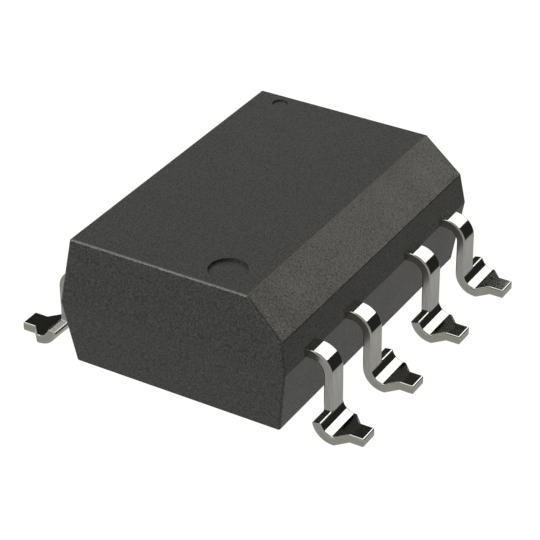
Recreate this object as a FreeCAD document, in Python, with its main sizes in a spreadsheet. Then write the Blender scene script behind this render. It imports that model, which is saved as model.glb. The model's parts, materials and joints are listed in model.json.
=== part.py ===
import FreeCAD, Part
import math
import os
import re
import Sketcher
from FreeCAD import Placement, Rotation, Vector

# Soic chip: an eight lead gull wing chip package, in millimetres.
# The frame stands on the seating plane under the middle of the body. +X crosses the two rows of leads
# towards the bevelled side with leads 1 to 4, +Y runs along the rows away from lead 1, +Z is up.

# Driving dimensions
SIZES = {
    # Moulded body, measured at its widest, on the parting plane
    "body_length": 9.52,
    "body_width": 6.52,
    "standoff": 0.05,
    "parting_height": 1.84,
    "top_height": 3.66,
    "side_draft": 8.4,
    "end_draft": 5.8,
    "edge_radius": 0.06,
    # Bevel along the side of leads 1 to 4, measured on the top face and down the side
    "bevel_width": 0.86,
    "bevel_drop": 0.96,
    # Round recess beside lead 1 and round ejector mark at the far end of the other side
    "index_diameter": 1.0,
    "index_depth": 0.07,
    "index_from_bevel": 1.02,
    "index_from_end": 0.8,
    "ejector_diameter": 0.44,
    "ejector_depth": 0.04,
    "ejector_from_side": 0.84,
    "ejector_from_end": 0.44,
    # Leads, stamped from strip and formed
    "lead_pitch": 2.54,
    "strip_thickness": 0.25,
    "lead_width": 0.57,
    "shoulder_width": 1.16,
    "shoulder_height": 0.51,
    "shank_reach": 4.02,
    "upper_bend_radius": 0.33,
    "lower_bend_radius": 0.33,
    "heel_reach": 4.4,
    "taper_reach": 4.67,
    "tip_reach": 5.05,
    "tip_width": 0.57,
    # Inner blades and die pad, inside the moulding
    "die_pad_length": 3.5,
    "die_pad_width": 3.0,
    "blade_gap": 0.3,
    "finger_inner": 0.55,
    "finger_width": 0.8,
    "blade_corner": 0.2,
    "flare_width": 0.35,
    "flare_reach": 2.75,
    # Die and its film of silver epoxy
    "die_length": 2.2,
    "die_width": 1.9,
    "die_thickness": 0.28,
    "film_thickness": 0.03,
    "film_margin": 0.05,
    # Bond wires
    "wire_diameter": 0.03,
    "ball_diameter": 0.08,
    "ball_height": 0.03,
    "wire_rise": 0.24,
    "bond_inset": 0.12,
    "outer_bond_spacing": 1.1,
    "inner_bond_spacing": 0.9,
    "stitch_setback": 0.25,
}

document = FreeCAD.newDocument("SoicChip")
sheet = document.addObject("Spreadsheet::Sheet", "Sizes")
for row, (alias, size) in enumerate(SIZES.items(), start=1):
    sheet.set(f"A{row}", alias)
    sheet.set(f"B{row}", str(size))
    sheet.setAlias(f"B{row}", alias)
document.recompute()

# Sizes that several pieces share, as formulas of the driving dimensions
SHARED = {
    "blade_top": "(parting_height + strip_thickness)",
    "bend_start": "(shank_reach - strip_thickness - upper_bend_radius)",
    "strip_near": "(shoulder_width / 2 - lead_width)",
    "strip_far": "(shoulder_width / 2)",
    "lower_side_inset": "((parting_height - standoff) * tan(side_draft))",
    "upper_side_inset": "((top_height - parting_height) * tan(side_draft))",
    "lower_end_inset": "((parting_height - standoff) * tan(end_draft))",
    "upper_end_inset": "((top_height - parting_height) * tan(end_draft))",
    "die_top": "(blade_top + film_thickness + die_thickness)",
    "finger_outer": "(finger_inner + finger_width)",
    "finger_middle": "(finger_inner + finger_width / 2)",
    "finger_length": "(1.5 * lead_pitch - die_pad_length / 2 - blade_gap)",
    "blade_end": "(die_pad_width / 2 + blade_gap)",
    "flare_middle": "((strip_far + strip_near - flare_width) / 2)",
}


def formula(text):
    """The text with every shared size written out and every driving dimension read from the sheet."""
    def spell(match):
        word = match.group()
        if word in SHARED:
            return formula(SHARED[word])
        return f"Sizes.{word}" if word in SIZES else word
    return re.sub(r"[a-z][a-z_]+", spell, str(text))


def value(text):
    """The number that a formula gives now."""
    result = sheet.evalExpression(formula(text))
    return float(getattr(result, "Value", result))


def bind(target, path, text):
    target.setExpression(path, formula(text))


def make_body(name):
    return document.addObject("PartDesign::Body", name)


def make_sketch(body, name, role="XY_Plane", offset="0"):
    """A sketch on one of the body's own origin planes, lifted off it along the plane's normal."""
    sketch = body.newObject("Sketcher::SketchObject", name)
    plane = next(item for item in body.Origin.OriginFeatures if item.Role == role)
    sketch.AttachmentSupport = [(plane, "")]
    sketch.MapMode = "FlatFace"
    sketch.AttachmentOffset = Placement(Vector(0, 0, value(offset)), Rotation())
    bind(sketch, "AttachmentOffset.Base.z", offset)
    return sketch


def hold_point(sketch, edge, end, point):
    """Ties one end of an edge to its two coordinates, each a formula."""
    for kind, axis, text in (("DistanceX", -2, point[0]), ("DistanceY", -1, point[1])):
        if text == "0":
            sketch.addConstraint(Sketcher.Constraint("PointOnObject", edge, end, axis))
            continue
        index = sketch.addConstraint(Sketcher.Constraint(kind, -1, 1, edge, end, value(text)))
        bind(sketch, f"Constraints[{index}]", text)


def hold_radius(sketch, edge, text):
    index = sketch.addConstraint(Sketcher.Constraint("Radius", edge, value(text)))
    bind(sketch, f"Constraints[{index}]", text)


def draw_arc(start, end, centre, radius):
    """The short arc from start to end; also says which of its ends lies at start."""
    first = math.atan2(start.y - centre.y, start.x - centre.x)
    last = math.atan2(end.y - centre.y, end.x - centre.x)
    forwards = (last - first) % (2 * math.pi) < math.pi
    if not forwards:
        first, last = last, first
    circle = Part.Circle(centre, Vector(0, 0, 1), radius)
    return Part.ArcOfCircle(circle, first, last), (1 if forwards else 2)


def draw_outline(sketch, corners):
    """A closed outline. A corner is (x, y), or (x, y, radius, centre x, centre y) where an arc leaves it."""
    points = [Vector(value(corner[0]), value(corner[1]), 0) for corner in corners]
    tails = []
    for index, corner in enumerate(corners):
        start = points[index]
        end = points[(index + 1) % len(points)]
        if len(corner) == 2:
            edge = sketch.addGeometry(Part.LineSegment(start, end), False)
            tails.append((edge, 1))
        else:
            centre = Vector(value(corner[3]), value(corner[4]), 0)
            arc, tail = draw_arc(start, end, centre, value(corner[2]))
            edge = sketch.addGeometry(arc, False)
            tails.append((edge, tail))
            hold_radius(sketch, edge, corner[2])
    for index, corner in enumerate(corners):
        edge, tail = tails[index]
        last_edge, last_tail = tails[index - 1]
        sketch.addConstraint(Sketcher.Constraint("Coincident", last_edge, 3 - last_tail, edge, tail))
        hold_point(sketch, edge, tail, corner)


def draw_path(sketch, points):
    """An open run of straight lines through the points."""
    ends = [Vector(value(point[0]), value(point[1]), 0) for point in points]
    for index, (start, end) in enumerate(zip(ends, ends[1:])):
        sketch.addGeometry(Part.LineSegment(start, end), False)
        if index:
            sketch.addConstraint(Sketcher.Constraint("Coincident", index - 1, 2, index, 1))
        hold_point(sketch, index, 1, points[index])
    hold_point(sketch, len(points) - 2, 2, points[-1])


def draw_circle(sketch, x, y, diameter):
    radius = f"({diameter}) / 2"
    circle = Part.Circle(Vector(value(x), value(y), 0), Vector(0, 0, 1), value(radius))
    edge = sketch.addGeometry(circle, False)
    hold_radius(sketch, edge, radius)
    hold_point(sketch, edge, 3, (x, y))


def rectangle(half_x, half_y, middle_x="0", middle_y="0"):
    return [
        (f"{middle_x} - ({half_x})", f"{middle_y} - ({half_y})"),
        (f"{middle_x} + ({half_x})", f"{middle_y} - ({half_y})"),
        (f"{middle_x} + ({half_x})", f"{middle_y} + ({half_y})"),
        (f"{middle_x} - ({half_x})", f"{middle_y} + ({half_y})"),
    ]


def make_pad(body, sketch, length, symmetric=False):
    pad = body.newObject("PartDesign::Pad", sketch.Name + "Pad")
    pad.Profile = sketch
    pad.Length = value(length)
    bind(pad, "Length", length)
    if symmetric:
        pad.SideType = "Symmetric"
    body.Tip = pad
    return pad


def make_pocket(body, sketch, depth, through=False):
    """Cuts the sketch out of the body and makes sure that material went."""
    document.recompute()
    before = body.Shape.Volume
    pocket = body.newObject("PartDesign::Pocket", sketch.Name + "Pocket")
    pocket.Profile = sketch
    pocket.Length = value(depth)
    bind(pocket, "Length", depth)
    if through:
        pocket.SideType = "Symmetric"
    body.Tip = pocket
    document.recompute()
    if not 0 < body.Shape.Volume < before:
        raise RuntimeError(f"{pocket.Name} cuts nothing")
    return pocket


def place(piece, x, y, z, turn="0"):
    """Puts a piece in the package: a turn about its own vertical axis, then its position."""
    piece.Placement = Placement(Vector(value(x), value(y), value(z)), Rotation(Vector(0, 0, 1), value(turn)))
    for axis, text in (("x", x), ("y", y), ("z", z)):
        bind(piece, f"Placement.Base.{axis}", text)
    if turn != "0":
        bind(piece, "Placement.Rotation.Angle", turn)


# Leads
def lead_hand(number):
    """Odd leads have their shank on one edge of the shoulder, even leads on the other."""
    return 1 if number % 2 else -1


def end_blade(hand, tip):
    """Inner blade of a lead at the end of a row: it runs inwards and turns towards the die pad."""
    return [
        ("bend_start", f"{hand} * strip_near"),
        ("finger_inner + blade_corner", f"{hand} * strip_near"),
        ("finger_inner", f"{hand} * (strip_near + blade_corner)"),
        ("finger_inner", f"{hand} * ({tip})"),
        ("finger_outer", f"{hand} * ({tip})"),
        ("finger_outer", f"{hand} * (strip_far + blade_corner)"),
        ("finger_outer + blade_corner", f"{hand} * strip_far"),
        ("bend_start", f"{hand} * strip_far"),
    ]


def middle_blade(hand):
    """Inner blade of a lead in the middle of a row: it flares and stops short of the die pad."""
    return [
        ("bend_start", f"{hand} * strip_near"),
        ("flare_reach", f"{hand} * strip_near"),
        ("flare_reach - flare_width", f"{hand} * (strip_near - flare_width)"),
        ("blade_end", f"{hand} * (strip_near - flare_width)"),
        ("blade_end", f"{hand} * strip_far"),
        ("bend_start", f"{hand} * strip_far"),
    ]


def add_blade(body, number):
    hand = lead_hand(number)
    sketch = make_sketch(body, f"Blade{number}", "XY_Plane", "parting_height")
    if number in (1, 4, 5, 8):
        tip = "finger_length + blade_gap" if number == 4 else "finger_length"
        draw_outline(sketch, end_blade(hand, tip))
    else:
        draw_outline(sketch, middle_blade(hand))
    make_pad(body, sketch, "strip_thickness")


def add_die_pad(body, number):
    """The plate that carries the die, in one piece with its lead."""
    middle = f"{lead_hand(number)} * 1.5 * lead_pitch"
    sketch = make_sketch(body, "DiePad", "XY_Plane", "parting_height")
    draw_outline(sketch, rectangle("die_pad_width / 2", "die_pad_length / 2", "0", middle))
    make_pad(body, sketch, "strip_thickness")


def add_bends(body, number):
    """The bend outside the moulding, the shank and the bend above the board, as one side profile."""
    upper = ("bend_start", "parting_height - upper_bend_radius")
    lower = ("shank_reach + lower_bend_radius", "strip_thickness + lower_bend_radius")
    sketch = make_sketch(body, f"Bends{number}", "XZ_Plane")
    draw_outline(sketch, [
        (upper[0], "parting_height", "upper_bend_radius", *upper),
        ("shank_reach - strip_thickness", upper[1]),
        ("shank_reach - strip_thickness", lower[1], "strip_thickness + lower_bend_radius", *lower),
        (lower[0], "0"),
        ("heel_reach", "0"),
        ("heel_reach", "strip_thickness"),
        (lower[0], "strip_thickness", "lower_bend_radius", *lower),
        ("shank_reach", lower[1]),
        ("shank_reach", upper[1], "upper_bend_radius + strip_thickness", *upper),
        (upper[0], "blade_top"),
    ])
    make_pad(body, sketch, "shoulder_width", symmetric=True)


def cut_relief(body, number):
    """Narrows the shank above the shoulder, from one edge only."""
    hand = lead_hand(number)
    sketch = make_sketch(body, f"Relief{number}", "YZ_Plane")
    draw_outline(sketch, [
        (f"{hand} * strip_near", "shoulder_height"),
        (f"{hand} * strip_near", "blade_top + strip_thickness"),
        (f"-{hand} * shoulder_width", "blade_top + strip_thickness"),
        (f"-{hand} * shoulder_width", "shoulder_height"),
    ])
    make_pocket(body, sketch, "2 * tip_reach", through=True)


def add_foot(body, number):
    """The flat foot: a taper on both sides and a narrow tip."""
    sketch = make_sketch(body, f"Foot{number}")
    draw_outline(sketch, [
        ("heel_reach", "-shoulder_width / 2"),
        ("taper_reach", "-tip_width / 2"),
        ("tip_reach", "-tip_width / 2"),
        ("tip_reach", "tip_width / 2"),
        ("taper_reach", "tip_width / 2"),
        ("heel_reach", "shoulder_width / 2"),
    ])
    make_pad(body, sketch, "strip_thickness")


def make_lead(number):
    """One lead, drawn for the row of leads 1 to 4 and turned half round for leads 5 to 8."""
    body = make_body(f"Lead{number}")
    body.Label = f"lead_{number}"
    add_bends(body, number)
    cut_relief(body, number)
    add_foot(body, number)
    add_blade(body, number)
    if number == 4:
        add_die_pad(body, number)
    if number <= 4:
        place(body, "0", f"{number - 2.5} * lead_pitch", "0")
    else:
        place(body, "0", f"{6.5 - number} * lead_pitch", "0", "180")
    return body


# Die
def make_plate(name, label, width, length, thickness, bottom):
    plate = document.addObject("Part::Box", name)
    plate.Label = label
    bind(plate, "Width", length)
    bind(plate, "Length", width)
    bind(plate, "Height", thickness)
    place(plate, f"-({width}) / 2", f"-({length}) / 2", bottom)
    return plate


# Bond wires
def make_wire(number):
    """One bond wire, drawn from its ball at the origin towards +X and turned to face its lead.

    The wire rises from the ball, is kinked over and slopes down past the die's edge to the lead's face,
    where it is trimmed flush.
    """
    side = 1 if number <= 4 else -1
    along = 1 if number in (3, 4, 5, 6) else -1
    if number in (1, 4, 5, 8):
        ball = ("outer_bond_spacing / 2", "die_length / 2 - bond_inset")
        stitch = ("finger_middle", "1.5 * lead_pitch - finger_length + stitch_setback")
    else:
        ball = ("die_width / 2 - bond_inset", "inner_bond_spacing / 2")
        stitch = ("blade_end + stitch_setback", "lead_pitch / 2 + flare_middle")
    across = f"({stitch[0]} - ({ball[0]}))"
    onwards = f"({stitch[1]} - ({ball[1]}))"
    span = f"hypot({across}; {onwards})"
    drop = "(film_thickness + die_thickness)"
    loop = [("0", "0"), ("0", "wire_rise"), (span, f"-({drop} + wire_diameter)")]

    body = make_body(f"Wire{number}")
    body.Label = f"bond_wire_{number}"
    path = make_sketch(body, f"WirePath{number}", "XZ_Plane")
    draw_path(path, loop)
    section = make_sketch(body, f"WireSection{number}")
    draw_circle(section, "0", "0", "wire_diameter")
    pipe = body.newObject("PartDesign::AdditivePipe", f"WirePipe{number}")
    pipe.Profile = section
    pipe.Spine = (path, ["Edge1", "Edge2"])
    pipe.Transition = "Right corner"
    body.Tip = pipe

    ball_sketch = make_sketch(body, f"Ball{number}")
    draw_circle(ball_sketch, "0", "0", "ball_diameter")
    make_pad(body, ball_sketch, "ball_height")
    trim = make_sketch(body, f"WireTrim{number}", "XY_Plane", f"-{drop}")
    draw_outline(trim, rectangle("2 * ball_diameter", "ball_diameter", span))
    make_pocket(body, trim, "2 * wire_diameter + ball_diameter")

    heading = f"atan2({along} * {onwards}; {side} * {across})"
    place(body, f"{side} * ({ball[0]})", f"{along} * ({ball[1]})", "die_top", heading)
    return body


# Moulded body
def make_mould_blank():
    """The moulding before its pieces are let into it: two drafted halves, the bevel and the two marks."""
    body = make_body("MouldBlank")
    levels = [
        ("MouldBottom", "standoff", "lower_side_inset", "lower_end_inset"),
        ("MouldParting", "parting_height", "0", "0"),
        ("MouldTop", "top_height", "upper_side_inset", "upper_end_inset"),
    ]
    sections = []
    for name, level, side_inset, end_inset in levels:
        sketch = make_sketch(body, name, "XY_Plane", level)
        draw_outline(sketch, rectangle(f"body_width / 2 - {side_inset}", f"body_length / 2 - {end_inset}"))
        sections.append(sketch)
    loft = body.newObject("PartDesign::AdditiveLoft", "MouldLoft")
    loft.Profile = sections[0]
    loft.Sections = sections[1:]
    loft.Ruled = True
    body.Tip = loft

    top_side = "(body_width / 2 - upper_side_inset)"
    drop_side = "(body_width / 2 - (top_height - bevel_drop - parting_height) * tan(side_draft))"
    bevel = make_sketch(body, "Bevel", "XZ_Plane")
    draw_outline(bevel, [
        (f"{top_side} - bevel_width", "top_height"),
        (drop_side, "top_height - bevel_drop"),
        (f"{drop_side} + bevel_width", "top_height - bevel_drop"),
        (f"{drop_side} + bevel_width", "top_height + bevel_drop"),
        (f"{top_side} - bevel_width", "top_height + bevel_drop"),
    ])
    faceted = make_pocket(body, bevel, "2 * body_length", through=True)

    index = make_sketch(body, "IndexRecess", "XY_Plane", "top_height")
    draw_circle(index, f"{top_side} - bevel_width - index_from_bevel",
                "-(body_length / 2 - upper_end_inset) + index_from_end", "index_diameter")
    ejector = make_sketch(body, "EjectorMark", "XY_Plane", "top_height")
    draw_circle(ejector, f"-{top_side} + ejector_from_side",
                "body_length / 2 - upper_end_inset - ejector_from_end", "ejector_diameter")

    rounding = body.newObject("PartDesign::Fillet", "MouldEdges")
    rounding.Base = (faceted, outer_edges(faceted.Shape))
    rounding.Radius = value("edge_radius")
    bind(rounding, "Radius", "edge_radius")
    body.Tip = rounding
    make_pocket(body, index, "index_depth")
    make_pocket(body, ejector, "ejector_depth")
    return body


def outer_edges(shape):
    """Every straight edge of the blank except those in the parting plane, which stay sharp."""
    parting = value("parting_height")
    chosen = []
    for index, edge in enumerate(shape.Edges, start=1):
        heights = [vertex.Point.z for vertex in edge.Vertexes]
        if max(abs(height - parting) for height in heights) > 1e-6:
            chosen.append(f"Edge{index}")
    return chosen


leads = [make_lead(number) for number in range(1, 9)]
film = make_plate("DieAttach", "die_attach", "die_width + 2 * film_margin",
                  "die_length + 2 * film_margin", "film_thickness", "blade_top")
die = make_plate("SiliconDie", "silicon_die", "die_width", "die_length", "die_thickness",
                 "blade_top + film_thickness")
wires = [make_wire(number) for number in range(1, 9)]
inner_pieces = leads + [film, die] + wires

embedded = document.addObject("Part::Compound", "Embedded")
embedded.Links = inner_pieces
mould = document.addObject("Part::Cut", "MouldBody")
mould.Base = make_mould_blank()
mould.Tool = embedded
mould.Label = "mould_body"
pieces = [mould] + inner_pieces

document.recompute()
for item in document.Objects:
    if any(state in ("Invalid", "Error") for state in item.State):
        raise RuntimeError(f"{item.Name} failed: {item.State}")
for piece in pieces:
    if piece.Shape.isNull() or not piece.Shape.isValid() or len(piece.Shape.Solids) != 1:
        raise RuntimeError(f"{piece.Label} is not one valid solid")

os.makedirs("parts", exist_ok=True)
for piece in pieces:
    piece.Shape.exportStep(f"parts/{piece.Label}.step")
    box = piece.Shape.BoundBox
    print(f"{piece.Label}: {piece.Shape.Volume:.4f} mm3, z {box.ZMin:.3f} to {box.ZMax:.3f}")
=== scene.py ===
import json
import math

import bmesh
import bpy
import numpy as np
from mathutils import Matrix, Quaternion, Vector

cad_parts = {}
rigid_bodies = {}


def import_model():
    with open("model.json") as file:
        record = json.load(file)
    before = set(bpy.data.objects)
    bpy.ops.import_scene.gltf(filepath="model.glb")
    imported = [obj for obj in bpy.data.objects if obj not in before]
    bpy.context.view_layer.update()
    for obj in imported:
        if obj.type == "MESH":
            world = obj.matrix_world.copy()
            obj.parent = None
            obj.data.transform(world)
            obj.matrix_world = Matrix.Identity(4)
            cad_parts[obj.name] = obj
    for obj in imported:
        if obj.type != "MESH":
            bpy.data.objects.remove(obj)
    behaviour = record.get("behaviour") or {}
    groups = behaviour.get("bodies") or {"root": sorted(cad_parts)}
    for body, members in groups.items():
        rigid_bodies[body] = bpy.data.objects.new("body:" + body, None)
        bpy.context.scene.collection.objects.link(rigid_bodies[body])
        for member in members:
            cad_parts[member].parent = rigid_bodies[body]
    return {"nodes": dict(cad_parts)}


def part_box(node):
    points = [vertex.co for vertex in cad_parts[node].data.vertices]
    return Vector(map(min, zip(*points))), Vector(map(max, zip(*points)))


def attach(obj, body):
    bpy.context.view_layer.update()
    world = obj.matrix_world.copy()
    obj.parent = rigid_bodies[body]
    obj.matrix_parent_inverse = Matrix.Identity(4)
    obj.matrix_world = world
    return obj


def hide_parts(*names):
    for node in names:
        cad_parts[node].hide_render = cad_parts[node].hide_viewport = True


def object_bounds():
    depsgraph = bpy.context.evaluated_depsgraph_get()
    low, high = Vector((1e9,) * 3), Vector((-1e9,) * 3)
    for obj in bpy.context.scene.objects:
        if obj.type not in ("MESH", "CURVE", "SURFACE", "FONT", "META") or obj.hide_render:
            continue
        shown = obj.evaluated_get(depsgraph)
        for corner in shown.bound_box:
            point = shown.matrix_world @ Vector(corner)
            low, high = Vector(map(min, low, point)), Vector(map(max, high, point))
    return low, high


bl_info = {
    "name": "Gull wing chip looks",
    "version": (1, 0, 0),
    "blender": (4, 5, 0),
    "location": "View3D > Sidebar > Chip",
    "description": "Finishes the moulding, the formed leads and the inner pieces of a gull wing chip",
    "category": "Object",
}

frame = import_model()
CAD_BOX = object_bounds()
MM = 0.001
_, MOULD_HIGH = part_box("mould_body")
_, LEAD_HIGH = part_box("lead_1")
ROW = 4  # leads on each long side
LEADS = range(1, 2 * ROW + 1)

# Where the formed part of a lead starts, inside the moulding's side
ROOT_DEPTH = 0.1 * MM
# Points on each straight run of the stamped outline: shank, step, shoulder, taper, tip's side, tip's end
RUN_POINTS = (130, 6, 60, 8, 10, 7)
# Points on each rounded corner of the outline, and on each quarter round of a sheared edge
CORNER_POINTS, EDGE_POINTS = 5, 5
# Points nearer than these are one point, in a formed lead and in a node's loose triangles
FORMED_MERGE, NODE_MERGE = MM / 100000, MM / 10000

LAMP_DISTANCE = 400 * MM


def length(name, description, default):
    return bpy.props.FloatProperty(name=name, description=description, default=default,
                                   subtype="DISTANCE", unit="LENGTH", precision=5)


def colour(name, description, default):
    return bpy.props.StringProperty(name=name, description=description, default=default)


def factor(name, description, default):
    return bpy.props.FloatProperty(name=name, description=description, default=default, min=0)


class ChipLeadSettings(bpy.types.PropertyGroup):
    pitch: length("Pitch", "Distance between two feet of a row", 2.54 * MM)
    strip: length("Strip", "Thickness of the lead strip", 0.25 * MM)
    shank_width: length("Shank width", "Width of the lead outside the moulding", 0.57 * MM)
    shoulder_width: length("Shoulder width", "Width of the lead above the board", 1.16 * MM)
    shoulder_height: length("Shoulder height", "Height of the step to the wide part", 0.51 * MM)
    shank_reach: length("Shank reach", "Outer face of the shank from the middle", 4.02 * MM)
    bend_radius: length("Bend radius", "Inside radius of both bends", 0.33 * MM)
    heel_reach: length("Heel reach", "Where the foot starts to taper", 4.4 * MM)
    taper_reach: length("Taper reach", "Where the taper ends", 4.67 * MM)
    tip_width: length("Tip width", "Width of the foot's tip", 0.57 * MM)
    corner_radius: length("Corner radius", "Rounding of the stamped outline's corners", 0.035 * MM)
    edge_radius: length("Edge radius", "Rounding that plating leaves along the edges", 0.045 * MM)


class ChipFinishSettings(bpy.types.PropertyGroup):
    compound: colour("Compound", "Colour of the moulding compound, sRGB hex", "#20201f")
    compound_light: colour("Compound light", "Colour of its paler filler, sRGB hex", "#2f2f2d")
    # Painted highlight: the paler rim colour stands in for the light that the top's rounded edges catch.
    compound_rim_highlight: colour("Compound rim highlight", "Colour of the painted highlight on the rim of the top, sRGB hex", "#525150")
    grain: length("Grain", "Width of the moulded grain", 0.05 * MM)
    tin: colour("Tin", "Colour of the plated faces, sRGB hex", "#e0e0da")
    tin_edge: colour("Tin edge", "Colour of the sheared edges, sRGB hex", "#d8d6d0")
    tin_shadow: colour("Tin shadow", "Colour of the dull lines in the plating, sRGB hex", "#80807b")
    streak: length("Streak", "Spacing of the rolling lines on the strip", 0.03 * MM)
    die_film: colour("Die film", "Colour of the silver epoxy under the die, sRGB hex", "#a8a69e")
    die: colour("Die", "Colour of the silicon die, sRGB hex", "#54585f")
    wire: colour("Wire", "Colour of the bond wires, sRGB hex", "#e0b050")


class ChipStageSettings(bpy.types.PropertyGroup):
    floor: colour("Floor", "Colour of the floor's own glow, sRGB hex", "#ffffff")
    floor_base: colour("Floor base", "Colour of the floor under its glow, sRGB hex", "#404040")
    floor_glow: factor("Floor glow", "How bright the floor is by itself", 1.0)
    room: colour("Room", "Colour of the light from the room and the ground, sRGB hex", "#fffefa")
    lamp: colour("Lamp", "Colour of the soft boxes, sRGB hex", "#ffffff")
    warm_lamp: colour("Warm lamp", "Colour of the soft box beyond the bevel, sRGB hex", "#fffdf4")
    ground_glow: factor("Ground glow", "Brightness of the pale ground that the chip reflects", 0.52)
    surround: factor("Surround", "Brightness of the dark room around the stage", 0.03)
    front_glow: factor("Front glow", "Brightness of the room before the chip", 0.5)
    back_light: factor("Back light", "Brightness of the soft box behind the chip", 2.4)
    high_light: factor("High light", "Brightness of the soft box that draws the leads' edges", 1.3)
    side_light: factor("Side light", "Brightness of the soft box beyond the bevel", 6.6)
    front_light: factor("Front light", "Brightness of the soft box before the near end", 6.5)
    edge_light: factor("Edge light", "Brightness of the soft box that grazes the top", 0.55)


def to_linear(code):
    """Turns an sRGB hex colour to the linear colour that shaders take."""
    channels = [int(code[start:start + 2], 16) / 255 for start in (1, 3, 5)]
    linear = [c / 12.92 if c <= 0.04045 else ((c + 0.055) / 1.055) ** 2.4 for c in channels]
    return (*linear, 1.0)


def add_node(tree, kind, inputs=None, **settings):
    """Adds a node. An input given as a socket is linked, and any other is set on the node."""
    node = tree.nodes.new(kind)
    for name, setting in settings.items():
        setattr(node, name, setting)
    for name, content in (inputs or {}).items():
        if isinstance(content, bpy.types.NodeSocket):
            tree.links.new(content, node.inputs[name])
        else:
            node.inputs[name].default_value = content
    return node


def start_material(name):
    material = bpy.data.materials.new(name)
    material.use_nodes = True
    material.node_tree.nodes.clear()
    return material, material.node_tree


def finish_material(tree, shader):
    add_node(tree, "ShaderNodeOutputMaterial", {"Surface": shader.outputs["BSDF"]})


def moulding_compound(finish):
    """Silica filled epoxy, transfer moulded in a spark eroded die: dull, near black, with a fine even grain
    and a faint cloudiness from the filler. A paler rim round the top is a painted highlight: its colour
    stands in for the light that the rounded edges catch.

    The grain is about two pixels of the photograph wide, since a finer one wouldn't show. It shades the
    colour and the gloss more than the relief. The rim is where the normal is part way from upright.
    """
    cloud_size = 20 * finish.grain
    rim_upward, rim_spread = 0.91, 0.085
    specks = {"From Min": 0.35, "From Max": 0.65}
    material, tree = start_material("moulded_epoxy_compound")
    place = add_node(tree, "ShaderNodeTexCoord").outputs["Object"]
    grain = add_node(tree, "ShaderNodeTexNoise", {
        "Vector": place, "Scale": 1 / finish.grain, "Detail": 3.0, "Roughness": 0.6})
    cloud = add_node(tree, "ShaderNodeTexNoise", {
        "Vector": place, "Scale": 1 / cloud_size, "Detail": 2.0, "Roughness": 0.5})
    speckle = add_node(tree, "ShaderNodeMapRange", {"Value": grain.outputs["Fac"], **specks})
    shade = add_node(tree, "ShaderNodeMix", {
        "Factor": speckle.outputs["Result"], "A": to_linear(finish.compound),
        "B": to_linear(finish.compound_light)}, data_type="RGBA")
    facing = add_node(tree, "ShaderNodeNewGeometry").outputs["Normal"]
    upward = add_node(tree, "ShaderNodeSeparateXYZ", {"Vector": facing}).outputs["Z"]
    # Painted highlight: where the normal is part way from upright, round the top's rounded edges, the
    # colour is mixed paler to stand in for the light those edges catch.
    rim = add_node(tree, "ShaderNodeMath", {0: upward, 1: rim_upward, 2: rim_spread}, operation="COMPARE")
    rim_highlighted = add_node(tree, "ShaderNodeMix", {
        "Factor": rim.outputs["Value"], "A": shade.outputs["Result"],
        "B": to_linear(finish.compound_rim_highlight)}, data_type="RGBA")
    glint = add_node(tree, "ShaderNodeMapRange", {
        "Value": grain.outputs["Fac"], **specks, "To Min": 0.28, "To Max": 0.72})
    dullness = add_node(tree, "ShaderNodeMapRange", {
        "Value": cloud.outputs["Fac"], "From Min": 0.3, "From Max": 0.7, "To Min": 0.34, "To Max": 0.38})
    bump = add_node(tree, "ShaderNodeBump", {
        "Height": grain.outputs["Fac"], "Strength": 1.0, "Distance": 0.15 * finish.grain})
    shader = add_node(tree, "ShaderNodeBsdfPrincipled", {
        "Base Color": rim_highlighted.outputs["Result"], "Roughness": dullness.outputs["Result"],
        "IOR": 1.5, "Specular IOR Level": glint.outputs["Result"], "Normal": bump.outputs["Normal"]})
    finish_material(tree, shader)
    return material


def tin_plate(name, tint, shadow, streak, smoothest, dullest):
    """Bright tin plated on rolled copper strip: a smooth mirror with faint lines along the strip.

    The lines are a noise drawn out along the strip, about a pixel of the photograph apart, since finer
    ones wouldn't show. They shade the colour and the gloss, and their relief is very slight.
    """
    stretch = 0.04
    material, tree = start_material(name)
    strip = add_node(tree, "ShaderNodeUVMap", uv_map="strip").outputs["UV"]
    stretched = add_node(tree, "ShaderNodeMapping", {"Vector": strip, "Scale": (stretch, 1.0, 1.0)})
    lines = add_node(tree, "ShaderNodeTexNoise", {
        "Vector": stretched.outputs["Vector"], "Scale": MM / streak, "Detail": 3.0, "Roughness": 0.6})
    dullness = add_node(tree, "ShaderNodeMapRange", {
        "Value": lines.outputs["Fac"], "From Min": 0.3, "From Max": 0.7,
        "To Min": smoothest, "To Max": dullest})
    shade = add_node(tree, "ShaderNodeMix", {
        "Factor": lines.outputs["Fac"], "A": to_linear(tint), "B": to_linear(shadow)}, data_type="RGBA")
    bump = add_node(tree, "ShaderNodeBump", {
        "Height": lines.outputs["Fac"], "Strength": 0.15, "Distance": 0.02 * streak})
    shader = add_node(tree, "ShaderNodeBsdfPrincipled", {
        "Base Color": shade.outputs["Result"], "Metallic": 1.0, "Roughness": dullness.outputs["Result"],
        "Normal": bump.outputs["Normal"]})
    finish_material(tree, shader)
    return material


def hidden_finish(name, tint, metallic, dullness, grain):
    """A plain finish with a fine grain for a piece inside the moulding."""
    material, tree = start_material(name)
    place = add_node(tree, "ShaderNodeTexCoord").outputs["Object"]
    specks = add_node(tree, "ShaderNodeTexNoise", {"Vector": place, "Scale": 1 / grain, "Detail": 2.0})
    rough = add_node(tree, "ShaderNodeMapRange", {
        "Value": specks.outputs["Fac"], "To Min": 0.8 * dullness, "To Max": 1.2 * dullness})
    shader = add_node(tree, "ShaderNodeBsdfPrincipled", {
        "Base Color": to_linear(tint), "Metallic": metallic, "Roughness": rough.outputs["Result"]})
    finish_material(tree, shader)
    return material


def turned(arrow, angles):
    """A flat arrow turned by each of the angles: its two parts shared out by cosine and sine."""
    cosine, sine = np.cos(angles), np.sin(angles)
    return np.stack([cosine * arrow[0] - sine * arrow[1], sine * arrow[0] + cosine * arrow[1]], axis=1)


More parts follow.
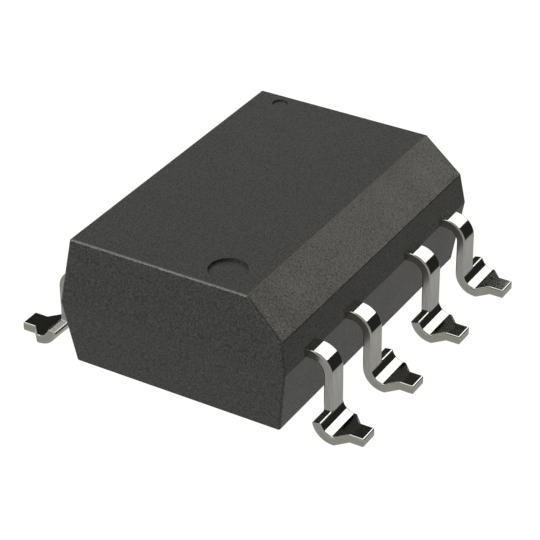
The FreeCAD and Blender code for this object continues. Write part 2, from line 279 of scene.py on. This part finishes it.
def soften(knots, side, radius):
    """A polyline with its corners rounded, and its inward normals.

    Each corner gives way to an arc whose ends lie radius times the tangent of half the turn from the
    corner; the runs between are divided evenly. A knot without a turn repeats its point, so that both
    long edges of a blank have as many. side is 1 where the metal lies to the left of the way.
    """
    least_turn = 1e-6
    knots = np.array(knots)
    ways = np.diff(knots, axis=0)
    ways /= np.linalg.norm(ways, axis=1)[:, None]
    leftward = np.stack([-ways[:, 1], ways[:, 0]], axis=1)
    inward = side * leftward
    points, normals = [], []
    start = knots[0]
    for index, count in enumerate(RUN_POINTS):
        last = index == len(RUN_POINTS) - 1
        turn = 0.0
        if not last:
            turn = math.atan2(ways[index][0] * ways[index + 1][1] - ways[index][1] * ways[index + 1][0],
                              ways[index] @ ways[index + 1])
        setback = radius * math.tan(abs(turn) / 2)
        end = knots[index + 1] - setback * ways[index]
        share = np.linspace(0, 1, count)[:, None]
        points.append(start + share * (end - start))
        normals.append(np.repeat(inward[index][None], count, axis=0))
        if last:
            break
        bend = np.linspace(0, turn, CORNER_POINTS + 2)[1:-1]
        towards = math.copysign(1, turn) * leftward[index]
        arc = end + radius * towards + radius * turned(-towards, bend)
        points.append(arc if abs(turn) > least_turn else np.repeat(end[None], CORNER_POINTS, axis=0))
        normals.append(turned(inward[index], bend))
        start = knots[index + 1] + setback * ways[index + 1]
    return np.concatenate(points), np.concatenate(normals)


def bend_places(lead, root):
    """Lengths along the blank's middle line: the radius and length of a quarter arc, then where the
    first arc, the shank, the second arc and the foot start, measured from the root."""
    radius = lead.bend_radius + lead.strip / 2
    arc = radius * math.pi / 2
    first_bend = lead.shank_reach - lead.strip - lead.bend_radius - root
    shank_start = first_bend + arc
    second_bend = shank_start + LEAD_HIGH.z - lead.strip - 2 * radius
    return radius, arc, first_bend, shank_start, second_bend, second_bend + arc


def bend_strip(blank, lead, root):
    """Folds points of the flat blank (along, across, above the middle) into the formed lead.

    The middle line is three straight runs joined by two quarter arcs: its tilt is the angle turned in the
    first arc less the angle turned back in the second, and each run and arc adds its share to x and z.
    Returns the points, and the tilt of the strip's face from straight up.
    """
    radius, arc, first_bend, shank_start, second_bend, foot_start = bend_places(lead, root)
    blade_middle = LEAD_HIGH.z - lead.strip / 2
    along, across, above = blank
    down = np.clip(along - first_bend, 0, arc) / radius
    back = np.clip(along - second_bend, 0, arc) / radius
    tilt = down - back
    x = root + np.clip(along, None, first_bend) + radius * np.sin(down)
    x += radius * (1 - np.cos(back)) + np.clip(along - foot_start, 0, None)
    z = blade_middle - radius * (1 - np.cos(down)) - radius * np.sin(back)
    z -= np.clip(along - shank_start, 0, second_bend - shank_start)
    return np.stack([x + above * np.sin(tilt), across, z + above * np.cos(tilt)], axis=-1), tilt


def blank_knots(lead, root):
    """Corners of the flat blank's two long edges from the moulding to the middle of the tip.

    One edge steps out where the second arc has come down to the shoulder's height, found from the arc
    sine of what is left of the radius. The other has knots without a turn beside that step.
    """
    radius, _, _, _, second_bend, foot_start = bend_places(lead, root)
    foot_from = lead.shank_reach + lead.bend_radius
    step = second_bend + radius * math.asin((lead.strip / 2 + radius - lead.shoulder_height) / radius)
    heel = foot_start + lead.heel_reach - foot_from
    taper = foot_start + lead.taper_reach - foot_from
    tip = foot_start + LEAD_HIGH.x - foot_from
    wide, narrow = lead.shoulder_width / 2, lead.tip_width / 2
    near = wide - lead.shank_width
    gap = lead.corner_radius
    stepped = [(0, near), (step, near), (step, -wide), (heel, -wide), (taper, -narrow), (tip, -narrow),
               (tip, 0)]
    plain = [(0, wide), (step - gap, wide), (step + gap, wide), (heel, wide), (taper, narrow),
             (tip, narrow), (tip, 0)]
    return stepped, plain


def form_lead(lead, root):
    """The formed lead from just inside the moulding to its tip.

    A ring of points, two quarter rounds on each side of the blank, is carried along the blank's two long
    edges and then folded. Returns points, their normals, their place on the flat strip in millimetres,
    quads, whether each quad lies on a sheared edge, and the ring that closes the root.
    """
    half = lead.strip / 2
    quarter = np.linspace(0, math.pi / 2, EDGE_POINTS)
    lean = np.concatenate([quarter, quarter + math.pi / 2])
    inset = lead.edge_radius * (1 - np.sin(lean))
    above = np.concatenate([half - lead.edge_radius * (1 - np.cos(quarter)),
                            -half + lead.edge_radius * (1 - np.sin(quarter))])
    rings, normals, flats = [], [], []
    for knots, side in zip(blank_knots(lead, root), (1, -1)):
        edge, inward = soften(knots, side, lead.corner_radius)
        place = edge[:, None, :] + inset[None, :, None] * inward[:, None, :]
        level = np.broadcast_to(above, place.shape[:2])
        points, tilt = bend_strip((place[..., 0], place[..., 1], level), lead, root)
        outward = -inward[:, None, :] * np.sin(lean)[None, :, None]
        up = np.broadcast_to(np.cos(lean), tilt.shape)
        normal = np.stack([outward[..., 0] * np.cos(tilt) + up * np.sin(tilt), outward[..., 1],
                           -outward[..., 0] * np.sin(tilt) + up * np.cos(tilt)], axis=-1)
        flat = np.stack([place[..., 0], place[..., 1] + level], axis=-1) / MM
        rings.append(points[:, ::side])
        normals.append(normal[:, ::side])
        flats.append(flat[:, ::side])
    points, normals, flats = (np.concatenate(part, axis=1) for part in (rings, normals, flats))
    stations, size = points.shape[:2]
    row = np.arange(stations - 1)[:, None] * size
    here, after = np.arange(size)[None, :], np.roll(np.arange(size), -1)[None, :]
    quads = np.stack([row + here, row + after, row + size + after, row + size + here], axis=-1)
    sheared = np.isin(here, (EDGE_POINTS - 1, 3 * EDGE_POINTS - 1)) & (row >= 0)
    return (points.reshape(-1, 3), normals.reshape(-1, 3), flats.reshape(-1, 2), quads.reshape(-1, 4),
            sheared.ravel(), np.arange(size)[::-1])


def merge_points(points):
    """Points that round to the same cell of a fine grid are one. Returns which points stay, and for
    each point its number among those."""
    cells = np.round(points / FORMED_MERGE).astype(np.int64)
    _, first, merged = np.unique(cells, axis=0, return_index=True, return_inverse=True)
    return first, merged.ravel()


def drop_repeats(quads, hand):
    """Corners of the quads in one run, without those that merging made equal to an earlier corner.

    Returns them, how many each face has, and which quads stay, as one with fewer than three corners
    doesn't. A left handed lead is a mirror image, so its faces run the other way round.
    """
    fresh = np.ones(quads.shape, bool)
    for place in range(1, quads.shape[1]):
        fresh[:, place] = (quads[:, place, None] != quads[:, :place]).all(axis=1)
    whole = fresh.sum(axis=1) > 2
    quads, fresh = quads[whole, ::hand], fresh[whole, ::hand]
    return quads[fresh], fresh.sum(axis=1), whole


def read_all(items, name, width, kind):
    """One property of all items as an array with a row for each."""
    found = np.zeros(len(items) * width, kind)
    items.foreach_get(name, found)
    return found.reshape(-1, width) if width > 1 else found


def cut_blade(node, root, side):
    """The lead's inner blade: a merged copy of the node, cut off at the plane where the formed part
    starts and closed there. Returns its points, the corners of its faces in one run, how many each face
    has, and the normals of the faces."""
    shape = bmesh.new()
    shape.from_mesh(node.data)
    bmesh.ops.remove_doubles(shape, verts=shape.verts, dist=NODE_MERGE)
    everything = shape.verts[:] + shape.edges[:] + shape.faces[:]
    bmesh.ops.bisect_plane(shape, geom=everything, plane_co=(side * root, 0, 0), plane_no=(side, 0, 0),
                           clear_outer=True)
    bmesh.ops.holes_fill(shape, edges=[edge for edge in shape.edges if edge.is_boundary])
    blade = bpy.data.meshes.new("blade")
    shape.to_mesh(blade)
    shape.free()
    points = read_all(blade.vertices, "co", 3, np.float32).astype(float)
    corners = read_all(blade.loops, "vertex_index", 1, np.int32)
    counts = read_all(blade.polygons, "loop_total", 1, np.int32)
    normals = read_all(blade.polygons, "normal", 3, np.float32)
    bpy.data.meshes.remove(blade)
    return points, corners, counts, normals


def make_lead(number, lead, materials):
    """One lead as a single piece: the folded strip outside the moulding and the blade inside it.

    The first row stands on the +X side and counts up along Y, and the second is the first turned half
    round. Every other lead is the mirror image of its neighbour, which puts its step on the other side.
    """
    name = f"lead_{number}"
    root = MOULD_HIGH.x - ROOT_DEPTH
    side = 1 if number <= ROW else -1
    hand = 1 if number % 2 else -1
    row_middle = (ROW + 1) / 2 if side > 0 else (3 * ROW + 1) / 2
    row_place = side * (number - row_middle) * lead.pitch
    points, normals, flats, quads, sheared, cap = form_lead(lead, root)
    points = points * (side, side * hand, 1) + (0, row_place, 0)
    normals = normals * (side, side * hand, 1)
    first, merged = merge_points(points)
    points, normals, flats = points[first], normals[first], flats[first]
    corners, counts, whole = drop_repeats(merged[quads], hand)
    closing = merged[cap][::hand]
    blade_points, blade_corners, blade_counts, blade_normals = cut_blade(frame["nodes"][name], root, side)
    corner_normals = np.concatenate([normals[corners], np.tile((-side, 0, 0), (len(closing), 1)),
                                     np.repeat(blade_normals, blade_counts, axis=0)])
    corners = np.concatenate([corners, closing, blade_corners + len(points)])
    counts = np.concatenate([counts, [len(closing)], blade_counts])
    points = np.concatenate([points, blade_points])
    flats = np.concatenate([flats, blade_points[:, :2] / MM])
    slots = np.zeros(len(counts), np.int32)
    slots[:whole.sum()] = sheared[whole]
    mesh = bpy.data.meshes.new(f"formed_{name}")
    faces = np.split(corners, np.cumsum(counts)[:-1])
    mesh.from_pydata(points.tolist(), [], [face.tolist() for face in faces])
    mesh.polygons.foreach_set("material_index", slots)
    strip_map = mesh.uv_layers.new(name="strip")
    strip_map.uv.foreach_set("vector", flats[corners].astype(np.float32).ravel())
    mesh.normals_split_custom_set(corner_normals.tolist())
    for material in materials:
        mesh.materials.append(material)
    piece = bpy.data.objects.new(f"formed_{name}", mesh)
    bpy.context.scene.collection.objects.link(piece)
    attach(piece, "root")
    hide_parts(name)
    return piece


def dress(name, material):
    """Gives a node of the frame its material."""
    mesh = frame["nodes"][name].data
    mesh.materials.clear()
    mesh.materials.append(material)


class CHIP_OT_moulding(bpy.types.Operator):
    """Finishes the moulded body in filled epoxy."""
    bl_idname = "chip.moulding"
    bl_label = "Moulding"

    def execute(self, context):
        dress("mould_body", moulding_compound(context.scene.chip_finish))
        return {"FINISHED"}


class CHIP_OT_leads(bpy.types.Operator):
    """Forms the eight leads from plated strip."""
    bl_idname = "chip.leads"
    bl_label = "Leads"

    def execute(self, context):
        finish = context.scene.chip_finish
        plated = tin_plate("bright_tin_plate", finish.tin, finish.tin_shadow, finish.streak,
                           smoothest=0.05, dullest=0.08)
        sheared = tin_plate("sheared_tin_edge", finish.tin_edge, finish.tin_shadow, 0.7 * finish.streak,
                            smoothest=0.14, dullest=0.22)
        for number in LEADS:
            make_lead(number, context.scene.chip_lead, (plated, sheared))
        return {"FINISHED"}


class CHIP_OT_inside(bpy.types.Operator):
    """Finishes the die, its film of epoxy and the bond wires inside the moulding."""
    bl_idname = "chip.inside"
    bl_label = "Inside"

    def execute(self, context):
        finish = context.scene.chip_finish
        # Silver flakes cured in epoxy: pale grey and dull
        dress("die_attach", hidden_finish("cured_silver_epoxy", finish.die_film, metallic=0.0,
                                          dullness=0.5, grain=0.02 * MM))
        # Sawn silicon with a polished face: dark grey and glossy
        dress("silicon_die", hidden_finish("polished_silicon", finish.die, metallic=0.0,
                                           dullness=0.15, grain=0.05 * MM))
        # Gold drawn to fine wire: yellow, with a satin shine
        gold = hidden_finish("drawn_gold_wire", finish.wire, metallic=1.0, dullness=0.25, grain=0.01 * MM)
        for number in LEADS:
            dress(f"bond_wire_{number}", gold)
        return {"FINISHED"}


def add_soft_box(name, azimuth, elevation, width, height, radiance, tint, shaded, roll=0):
    """A rectangular soft light that faces the chip, with the pieces that a flag shades from it.

    The azimuth is counted from +Y towards +X, in degrees as the elevation and the roll are. The light's
    power is its radiance times its area times pi.
    """
    light = bpy.data.lights.new(name, "AREA")
    light.shape = "RECTANGLE"
    light.size, light.size_y = width, height
    light.energy = radiance * width * height * math.pi
    light.color = to_linear(tint)[:3]
    holder = bpy.data.objects.new(name, light)
    bpy.context.scene.collection.objects.link(holder)
    around, up = math.radians(azimuth), math.radians(elevation)
    way = Vector((math.sin(around) * math.cos(up), math.cos(around) * math.cos(up), math.sin(up)))
    holder.location = way * LAMP_DISTANCE
    facing = way.to_track_quat("Z", "Y") @ Quaternion((0, 0, 1), math.radians(roll))
    holder.rotation_euler = facing.to_euler()
    flagged = bpy.data.collections.new(f"{name}_flag")
    holder.light_linking.receiver_collection = flagged
    for piece in shaded:
        flagged.objects.link(piece)
    for member in flagged.collection_objects:
        member.light_linking.link_state = "EXCLUDE"


class CHIP_OT_stage(bpy.types.Operator):
    """Sets the chip on a pale floor under soft light, in front of the camera."""
    bl_idname = "chip.stage"
    bl_label = "Stage"

    def execute(self, context):
        stage = context.scene.chip_stage
        self.add_floor(stage)
        self.add_room(context, stage)
        self.add_lights(stage)
        self.add_camera(context)
        return {"FINISHED"}

    def add_lights(self, stage):
        """Soft boxes that shape the moulding are kept off the leads, and those that the leads mirror are
        kept off the moulding. The leads don't show in mirror images, which keeps their feet black."""
        body = [frame["nodes"]["mould_body"]]
        leads = [piece for piece in bpy.data.objects if piece.name.startswith("formed_lead_")]
        add_soft_box("back_soft_box", azimuth=10, elevation=40, roll=8, width=400 * MM, height=140 * MM,
                     radiance=stage.back_light, tint=stage.lamp, shaded=body)
        add_soft_box("side_soft_box", azimuth=34, elevation=27, width=100 * MM, height=100 * MM,
                     radiance=stage.side_light, tint=stage.warm_lamp, shaded=leads)
        add_soft_box("front_soft_box", azimuth=-150, elevation=40, width=300 * MM, height=300 * MM,
                     radiance=stage.front_light, tint=stage.lamp, shaded=leads)
        add_soft_box("edge_soft_box", azimuth=-28, elevation=35, width=300 * MM, height=300 * MM,
                     radiance=stage.edge_light, tint=stage.lamp, shaded=leads)
        add_soft_box("high_soft_box", azimuth=-100, elevation=62, width=300 * MM, height=300 * MM,
                     radiance=stage.high_light, tint=stage.lamp, shaded=body)
        for lead in leads:
            lead.visible_glossy = False

    def add_room(self, context, stage):
        """A room that is dark behind the chip and lit before it, over a pale ground: the brightness steps
        up where the view dips below the edge of the ground."""
        to_front = (-0.1, -0.995, 0)
        dark_until, lit_from = -0.45, -0.2
        ground_below, room_above = (math.sin(math.radians(angle)) for angle in (-21, -16))
        world = bpy.data.worlds.new("dark_room")
        world.use_nodes = True
        tree = world.node_tree
        tree.nodes.clear()
        way = add_node(tree, "ShaderNodeTexCoord").outputs["Generated"]
        height = add_node(tree, "ShaderNodeSeparateXYZ", {"Vector": way}).outputs["Z"]
        ahead = add_node(tree, "ShaderNodeVectorMath", {
            0: way, 1: to_front}, operation="DOT_PRODUCT").outputs["Value"]
        room = add_node(tree, "ShaderNodeMapRange", {
            "Value": ahead, "From Min": dark_until, "From Max": lit_from,
            "To Min": stage.surround, "To Max": stage.front_glow}, interpolation_type="SMOOTHSTEP")
        glow = add_node(tree, "ShaderNodeMapRange", {
            "Value": height, "From Min": ground_below, "From Max": room_above,
            "To Min": stage.ground_glow, "To Max": room.outputs["Result"]}, interpolation_type="SMOOTHSTEP")
        backdrop = add_node(tree, "ShaderNodeBackground", {
            "Color": to_linear(stage.room), "Strength": glow.outputs["Result"]})
        add_node(tree, "ShaderNodeOutputWorld", {"Surface": backdrop.outputs["Background"]})
        context.scene.world = world

    def add_floor(self, stage):
        """A flat disc just under the feet: one face, its corners at even steps of angle. Mirror, diffuse
        and shadow rays pass through it, so that the ground of the room lights the chip from below."""
        reach, corners = 200 * MM, 96
        turns = np.linspace(0, 2 * math.pi, corners, endpoint=False)
        rim = np.stack([reach * np.cos(turns), reach * np.sin(turns), np.zeros(corners)], axis=1)
        mesh = bpy.data.meshes.new("floor")
        mesh.from_pydata(rim.tolist(), [], [list(range(corners))])
        material, tree = start_material("pale_floor")
        shader = add_node(tree, "ShaderNodeBsdfPrincipled", {
            "Base Color": to_linear(stage.floor_base), "Roughness": 1.0, "Specular IOR Level": 0.0,
            "Emission Color": to_linear(stage.floor), "Emission Strength": stage.floor_glow})
        finish_material(tree, shader)
        mesh.materials.append(material)
        floor = bpy.data.objects.new("floor", mesh)
        floor.location.z = CAD_BOX[0].z - MM / 1000
        floor.visible_glossy = floor.visible_diffuse = floor.visible_shadow = False
        bpy.context.scene.collection.objects.link(floor)

    def add_camera(self, context):
        """The photograph's camera: where it looks, from which side and how far, and its lens. The angles
        and the focal length, in pixels of the photograph, were fitted to the chip's corners."""
        azimuth, elevation, roll = (math.radians(angle) for angle in (31.331, 32.221, -0.583))
        distance = 55.74 * MM
        look_at = Vector((0.468, -0.787, 1.799)) * MM
        focal_pixels, picture_pixels, sensor = 2179.9, 540, 36
        back = Vector((math.sin(azimuth) * math.cos(elevation),
                       -math.cos(azimuth) * math.cos(elevation), math.sin(elevation)))
        level = (-back).cross(Vector((0, 0, 1))).normalized()
        above = level.cross(-back)
        right = level * math.cos(roll) + above * math.sin(roll)
        up = above * math.cos(roll) - level * math.sin(roll)
        lens = bpy.data.cameras.new("camera")
        lens.sensor_width = sensor
        lens.lens = sensor * focal_pixels / picture_pixels
        lens.clip_start, lens.clip_end = 1 * MM, 1000 * MM
        camera = bpy.data.objects.new("camera", lens)
        turn = Matrix((right, up, back)).transposed().to_4x4()
        camera.matrix_world = Matrix.Translation(look_at + back * distance) @ turn
        context.scene.collection.objects.link(camera)
        context.scene.camera = camera
        context.scene.view_settings.view_transform = "Standard"


class CHIP_PT_looks(bpy.types.Panel):
    """The chip's pieces and its stage."""
    bl_idname = "CHIP_PT_looks"
    bl_label = "Chip"
    bl_space_type = "VIEW_3D"
    bl_region_type = "UI"
    bl_category = "Chip"

    def draw(self, context):
        for operator in OPERATORS:
            self.layout.operator(operator.bl_idname)
        for group, place in GROUPS:
            for name in group.__annotations__:
                self.layout.prop(getattr(context.scene, place), name)


OPERATORS = (CHIP_OT_moulding, CHIP_OT_leads, CHIP_OT_inside, CHIP_OT_stage)
GROUPS = ((ChipLeadSettings, "chip_lead"), (ChipFinishSettings, "chip_finish"),
          (ChipStageSettings, "chip_stage"))


def register():
    for group, name in GROUPS:
        bpy.utils.register_class(group)
        setattr(bpy.types.Scene, name, bpy.props.PointerProperty(type=group))
    for each in OPERATORS + (CHIP_PT_looks,):
        bpy.utils.register_class(each)


def unregister():
    for each in (CHIP_PT_looks,) + OPERATORS[::-1]:
        bpy.utils.unregister_class(each)
    for group, name in GROUPS:
        delattr(bpy.types.Scene, name)
        bpy.utils.unregister_class(group)


def main():
    register()
    bpy.ops.chip.moulding()
    bpy.ops.chip.leads()
    bpy.ops.chip.inside()
    bpy.ops.chip.stage()


if __name__ == "__main__":
    main()
